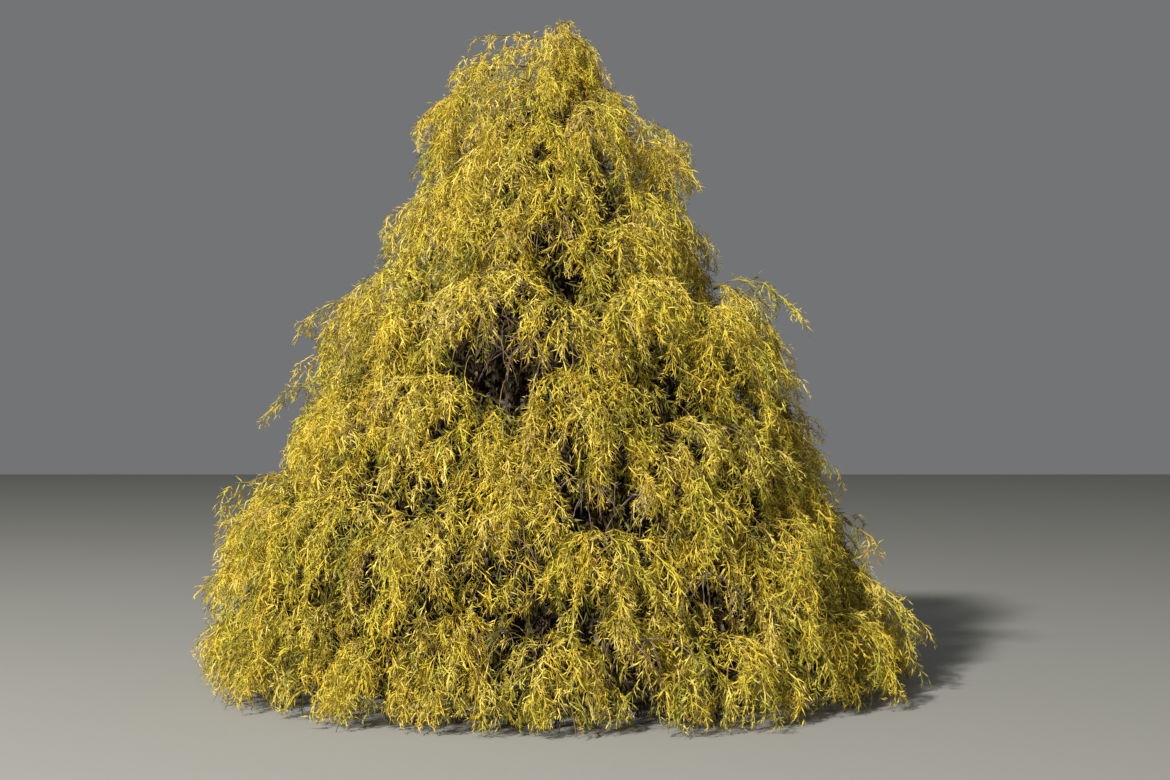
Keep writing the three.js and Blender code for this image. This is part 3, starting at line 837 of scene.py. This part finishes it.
def spray_template(rise, fall, threads, forks, count, width, seed):
    """One spray that leaves the origin along +X: its main thread, its side threads and their forks."""
    draw = np.random.default_rng(seed)
    slopes = np.array([float(rise)]), np.array([float(fall)])
    line = drooping_lines(np.zeros((1, 3)), np.zeros(1), *slopes, np.array([SPRAY_LENGTH]), count)
    line[0, 1:, 1] += np.cumsum(draw.uniform(-SPRAY_SWAY, SPRAY_SWAY, count - 1))
    roots, way, length = side_threads(line, threads, draw)
    droop = -SIDE_DROOP * UP
    tips = roots + (way + droop) * length
    all_roots, all_tips = [roots], [tips]
    for _ in range(forks):
        fork_roots = roots + (tips - roots) * draw.uniform(*FORK_PLACES, (threads, 1))
        fork_side = unit(np.cross(way, draw.normal(size=(threads, 3))))
        fork_way = unit(way * FORK_AHEAD + fork_side * FORK_ASIDE) + droop * FORK_DROOP
        all_roots.append(fork_roots)
        all_tips.append(fork_roots + fork_way * length * draw.uniform(*FORK_SIZES, (threads, 1)))
    roots, tips = np.concatenate(all_roots), np.concatenate(all_tips)
    beside = unit(np.cross(tips - roots, draw.normal(size=roots.shape)))
    main = ribbon(line[0], MAIN_WIDTH * width)
    return joined([main, slivers(roots, tips, beside, SIDE_WIDTH * width, SIDE_ARCH * width)])


def spray_templates(variants, threads, forks, count, width, seed):
    """The modelled sprays by their kind, which is how steeply they start, and their variant."""
    made = {}
    for k, (rise, fall) in enumerate(zip(SPRAY_RISES, SPRAY_FALLS)):
        for v in range(variants):
            made[k, v] = spray_template(rise, fall, threads, forks, count, width, seed + 10 * k + v)
    return made


def spray_kinds(rises):
    """Which start slope of the modelled sprays is nearest to each wanted one."""
    return np.abs(rises[:, None] - np.array(SPRAY_RISES)[None, :]).argmin(axis=1)


def placed(template, roots, turns, rolls, sizes):
    """Copies of one spray, rolled about its heading, turned, sized and moved to their roots."""
    points, faces = template
    x, y, z = points.T
    cos_roll, sin_roll = np.cos(rolls)[:, None], np.sin(rolls)[:, None]
    across = (y * cos_roll - z * sin_roll) * sizes[:, None]
    up = (y * sin_roll + z * cos_roll) * sizes[:, None]
    out = x[None, :] * sizes[:, None]
    cos_turn, sin_turn = np.cos(turns)[:, None], np.sin(turns)[:, None]
    right = out * cos_turn - across * sin_turn
    back = out * sin_turn + across * cos_turn
    return repeated(np.stack([right, back, up], axis=2) + roots[:, None, :], faces)


def thread_piece(name, colour, chosen, templates, sprays):
    """All the sprays of one colour as one piece that stands for the masses of foliage."""
    kinds_of, variants, *places = sprays
    parts = []
    for (k, v), template in templates.items():
        own = chosen & (kinds_of == k) & (variants == v)
        if own.any():
            parts.append(placed(template, *[values[own] for values in places]))
    threads = mesh_piece("threads_" + name, *joined(parts), thread_material(name, colour))
    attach(threads, "root")
    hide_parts(*foliage_nodes)


# The living sprays on their branchlets: they leave the outer part of each one to both sides by turns, so
# that its end is a drooping fan. A spray that would leave its tuft's space is drawn shorter, and skipped
# where even that doesn't fit. The young sprays outside and on top are the most golden. That is partly
# their own colour and partly painted light: the lit outer sprays get the bright golds, and the inner ones
# get more olive as painted shade.
SPRAYS_ON_BRANCHLET = 8
FAN_START = 0.16
FAN_END = 0.995
FAN_OPENINGS = (12, 75)
FAN_WIDEST = 1.1
FAN_CLOSING = 0.5
SPRAY_LIFTS = (-8, 45)
SPRAY_SIZES = (0.75, 1.15)
SPRAY_FITS = (1.0, 0.8, 0.62)
SPRAY_OVERLAP = 0.09
SPRAY_ABOVE_GROUND = 0.02
HOLLOW_EDGE = 0.9
UPPER_TIER = -5
TIP_OUTSIDE = 0.6
UPPER_OUTSIDE = 0.4
TONE_CLUMP_SCALE = 1.7
TONE_CLUMP_SHARE = 0.5
FAN_TONE = 0.4
SPRAY_ROLL = 40
# Pale gold and gold fall mostly outside and olive mostly inside. This is partly the threads' own colour,
# partly painted light on the lit outside and painted shade within.
THREAD_COLOURS = (
    # name, colour, share of the sprays at the outside of a tuft, share inside
    ("gold", "d9be3a", 0.24, 0.18),
    ("pale_gold", "e3cc5c", 0.25, 0.12),
    ("deep_gold", "ccb134", 0.22, 0.22),
    ("lime_gold", "cdbd3b", 0.19, 0.22),
    ("olive", "a09735", 0.08, 0.21),
    ("bronze", "b39957", 0.02, 0.05),
)

spray_branch = np.repeat(np.arange(many), SPRAYS_ON_BRANCHLET)
total = len(spray_branch)
fan_share = np.tile((np.arange(SPRAYS_ON_BRANCHLET) + 0.5) / SPRAYS_ON_BRANCHLET, many)
spray_share = FAN_START + (FAN_END - FAN_START) * fan_share
spray_roots, way = points_along(branch_lines, spray_branch, spray_share)
branch_slope = np.degrees(np.arctan2(way[:, 2], np.hypot(way[:, 0], way[:, 1])))
side = np.where(np.arange(total) % 2 == 0, 1, -1)
open_turn = side * random.uniform(*FAN_OPENINGS, total) * (FAN_WIDEST - FAN_CLOSING * fan_share)
spray_turns = branch_turns[spray_branch] + np.radians(open_turn)
kind = spray_kinds(branch_slope + random.uniform(*SPRAY_LIFTS, total))
spray_tuft = branch_tuft[spray_branch]
tuft_scales = np.array([tuft["scale"] for tuft in tufts])
spray_sizes = random.uniform(*SPRAY_SIZES, total) * tuft_scales[spray_tuft]

kinds = len(SPRAY_RISES)
test_lines = drooping_lines(
    np.zeros((kinds, 3)),
    np.zeros(kinds),
    np.array(SPRAY_RISES, float),
    np.array(SPRAY_FALLS, float),
    np.full(kinds, SPRAY_LENGTH),
    SPRAY_POINTS,
)
fitted = np.zeros(total, bool)
for fit in SPRAY_FITS:
    size = spray_sizes * fit
    fits = np.ones(total, bool)
    for k in (SPRAY_POINTS // 2, SPRAY_POINTS - 1):
        local = test_lines[kind, k] * size[:, None]
        ends = spray_roots + heading(spray_turns) * local[:, :1] + UP * local[:, 2:]
        beside, spread, under, shoulder, above = room_at(ends, spray_tuft)
        fits &= (beside > -SPRAY_OVERLAP) & (spread > 0) & (shoulder > 0)
        fits &= (under > -OVER_CREST) & (above > SPRAY_ABOVE_GROUND)
    fresh = fits & ~fitted
    spray_sizes[fresh] = size[fresh]
    fitted |= fits
fitted &= ~in_hollow(spray_roots, HOLLOW_EDGE)
# Sprays near a branchlet's tip and on its upper tier count as outside and are dealt golder colours. That
# is partly their own colour and partly painted light.
in_upper_tier = branch_rises[spray_branch] > UPPER_TIER
spray_outside = spray_share * TIP_OUTSIDE + UPPER_OUTSIDE * in_upper_tier

chosen = np.flatnonzero(fitted)
count = len(chosen)
roots = spray_roots[chosen]
clump_tone = TONE_CLUMP_SHARE * clumps(roots, TONE_CLUMP_SCALE)
outside = np.clip(spray_outside[chosen] + clump_tone, 0, 1)
rolls = np.radians(random.uniform(-SPRAY_ROLL, SPRAY_ROLL, count))
variants = random.integers(0, SPRAY_VARIANTS, count)
fan_tone = random.uniform(0, 1, many)[spray_branch[chosen]]
dealt = np.where(random.uniform(0, 1, count) < FAN_TONE, fan_tone, random.uniform(0, 1, count))
outer_shares = np.cumsum([row[2] for row in THREAD_COLOURS])
inner_shares = np.cumsum([row[3] for row in THREAD_COLOURS])
edges = outer_shares * outside[:, None] + inner_shares * (1 - outside)[:, None]
colour_index = np.minimum((dealt[:, None] > edges).sum(axis=1), len(THREAD_COLOURS) - 1)

fine = spray_templates(SPRAY_VARIANTS, SIDE_THREADS, SIDE_FORKS, SPRAY_POINTS, 1.0, 0)
living = (kind[chosen], variants, roots, spray_turns[chosen], rolls, spray_sizes[chosen])
for number, (name, colour, _, _) in enumerate(THREAD_COLOURS):
    thread_piece(name, colour, colour_index == number, fine, living)

# The inside of the crown: older threads that have browned for want of light and cling to the twigs
# behind the slope. Their dark olive and brown colours are partly that browning and partly painted shade,
# darker the deeper the layer lies. They are modelled coarser the deeper they lie, as they only shut out
# the light, and are turned across the slope, so that they don't stand out of it.
# The shaded, inner and core colours are painted shade as well as the threads' own browned colour.
INNER_LAYERS = (
    # name, colour, sprays, nearest and deepest root behind the slope, top, side threads, width
    ("shaded", "6e6a1e", 1300, 0.18, 0.38, 3.5, 20, 1.6),
    ("inner", "43371f", 3100, 0.36, 0.9, 3.3, 13, 3.8),
    ("core", "3b301c", 600, 0.9, 1.4, 3.0, 13, 8.0),
)
INNER_VARIANTS = 2
INNER_POINTS = 3
INNER_SEED = 300
INNER_TURNS = (40, 120)
INNER_RISES = (-70, 20)
INNER_SIZES = (0.8, 1.2)
LOW_SIZE = 0.55
LOW_FOOT = 0.02
LOW_HEIGHT = 0.3
for layer, (name, colour, number, nearest, deepest, top, threads, width) in enumerate(INNER_LAYERS):
    coarse = spray_templates(INNER_VARIANTS, threads, 0, INNER_POINTS, width, INNER_SEED * (layer + 1))
    roots, turns = slope_spots(number, (nearest, deepest), 0.0, top, random)
    turns += np.radians(random.choice((-1, 1), number) * random.uniform(*INNER_TURNS, number))
    low = np.clip((roots[:, 2] - LOW_FOOT) / LOW_HEIGHT, LOW_SIZE, 1)
    inner = (
        spray_kinds(random.uniform(*INNER_RISES, number)),
        random.integers(0, INNER_VARIANTS, number),
        roots,
        turns,
        np.radians(random.uniform(-SPRAY_ROLL, SPRAY_ROLL, number)),
        random.uniform(*INNER_SIZES, number) * low,
    )
    shown = ~in_hollow(roots) if name == "shaded" else np.ones(number, bool)
    thread_piece(name, colour, shown, coarse, inner)

# The studio: a warm grey matt floor, one large soft lamp from the upper left where the sun stands, and a
# weak sky-coloured fill. The camera stands at eye height where the photograph was taken.
FLOOR_SIZE = 60.0
FLOOR_COLOUR = "93928c"
KEY_PLACE = (-11.0, -16.0, 16.5)
KEY_AIM = (0, 0, 1.6)
KEY_SIZE = 1.8
KEY_POWER = 9700
KEY_COLOUR = (1.0, 0.985, 0.95)
FILL_COLOUR = (0.94, 0.97, 1.0, 1.0)
FILL_STRENGTH = 0.18
EYE_HEIGHT = 1.6
EYE_DISTANCE = 10.84
EYE_RIGHT = 0.183
FOCAL_LENGTH = 58.46
SENSOR_WIDTH = 36.0
TILT_UP = 0.3

bpy.ops.mesh.primitive_plane_add(size=FLOOR_SIZE, location=(0, 0, 0))
floor = bpy.context.object
floor.name = "floor"
floor_material, floor_shader = new_material("warm_grey_matt_floor")
floor_shader.inputs["Base Color"].default_value = linear(FLOOR_COLOUR)
floor_shader.inputs["Roughness"].default_value = 0.9
floor.data.materials.append(floor_material)

bpy.ops.object.light_add(type="AREA", location=KEY_PLACE)
key = bpy.context.object
key.data.size = KEY_SIZE
key.data.energy = KEY_POWER
key.data.color = KEY_COLOUR
key.rotation_euler = (Vector(KEY_AIM) - key.location).to_track_quat("-Z", "Y").to_euler()

world = bpy.data.worlds.new("studio")
bpy.context.scene.world = world
world.use_nodes = True
world.node_tree.nodes["Background"].inputs["Color"].default_value = FILL_COLOUR
world.node_tree.nodes["Background"].inputs["Strength"].default_value = FILL_STRENGTH

upright = math.radians(90 + TILT_UP)
bpy.ops.object.camera_add(location=(EYE_RIGHT, -EYE_DISTANCE, EYE_HEIGHT), rotation=(upright, 0, 0))
camera = bpy.context.object
camera.data.lens = FOCAL_LENGTH
camera.data.sensor_width = SENSOR_WIDTH
bpy.context.scene.camera = camera
bpy.context.scene.view_settings.view_transform = "Standard"
